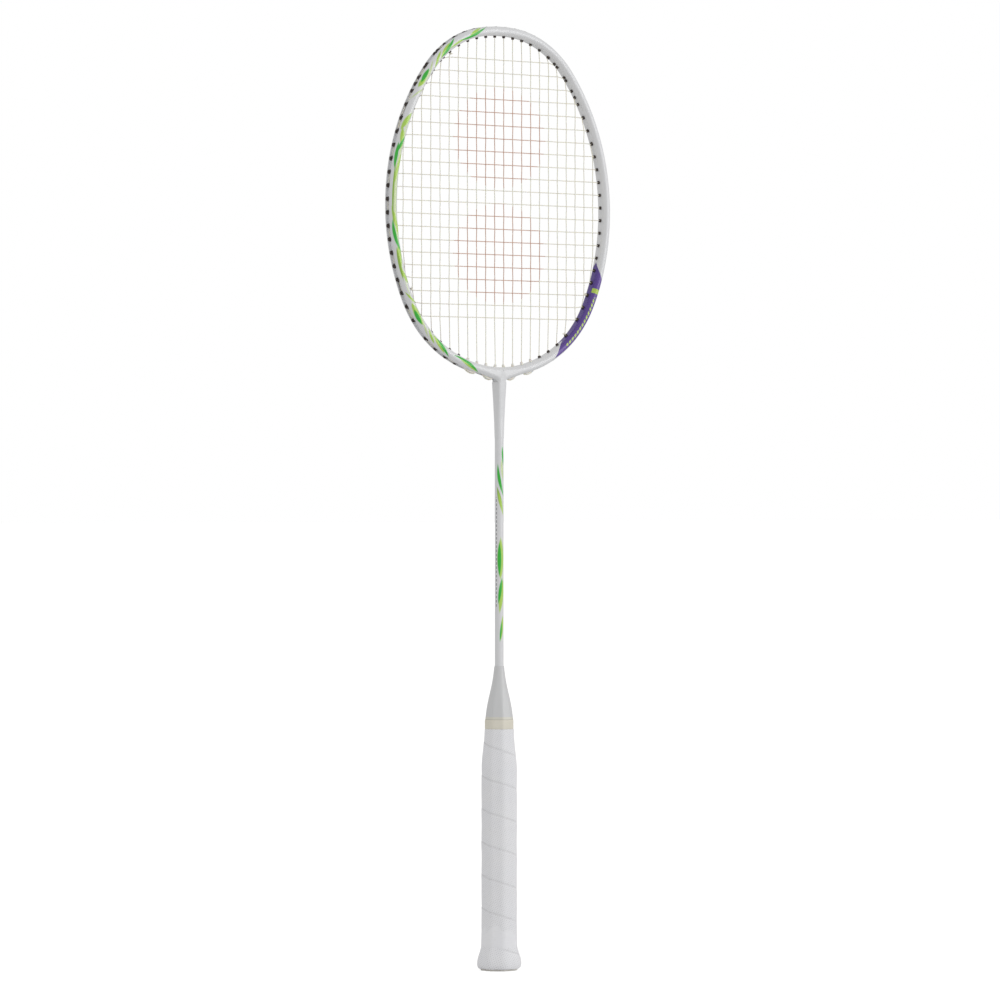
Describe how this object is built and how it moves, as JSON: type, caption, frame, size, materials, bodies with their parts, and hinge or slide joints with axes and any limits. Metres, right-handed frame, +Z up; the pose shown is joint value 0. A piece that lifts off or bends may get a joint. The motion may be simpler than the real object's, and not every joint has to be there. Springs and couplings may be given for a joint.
{
  "type": "badminton racket",
  "caption": "Badminton racket with an isometric hollow head, woven string bed, slim round shaft, cone cap and a long eight-sided wrapped grip.",
  "frame": {"origin": "middle of the butt's flat end", "axes": "+Z up the shaft towards the head; +X across the head in the plane of the strings; the front face looks along -Y"},
  "size_m": [0.2, 0.0314, 0.675],
  "materials": {
    "frame_paint": "white pearl lacquer over carbon fibre, with green, lime and violet bands",
    "shaft_paint": "white pearl lacquer over a carbon tube, with green and lime streaks",
    "cone_plastic": "moulded and painted, glossy",
    "joint_metal": "machined",
    "handle_wood": "sanded hardwood",
    "steel": "drawn wire",
    "cap_plastic": "moulded, satin",
    "badge": "plain glossy disc with a raised ring",
    "grip": "white synthetic leather with fine dimples, wound in a spiral",
    "band_tape": "cream tape",
    "grommet_black": "black nylon, satin",
    "grommet_clear": "natural nylon, slightly see-through",
    "string": "ivory multifilament nylon"
  },
  "bodies": {
    "root": {"head_frame": "frame_paint", "t_joint": "joint_metal", "shaft": "shaft_paint", "cone_cap": "cone_plastic", "handle_core": "handle_wood", "handle_pin": "steel", "butt_cap": "cap_plastic", "butt_staples": "steel", "butt_badge": "badge", "grip_tape": "grip", "finishing_tape": "band_tape", "grommets_top": "grommet_black", "grommets_left": "grommet_black", "grommets_right": "grommet_black", "grommets_bottom": "grommet_black", "shared_grommets_left": "grommet_black", "shared_grommets_right": "grommet_black", "throat_grommet_outer_left": "grommet_clear", "throat_grommet_inner_left": "grommet_clear", "throat_grommet_inner_right": "grommet_clear", "throat_grommet_outer_right": "grommet_clear", "main_string": "string", "cross_string": "string", "string_knots": "string"}
  },
  "joints": []
}
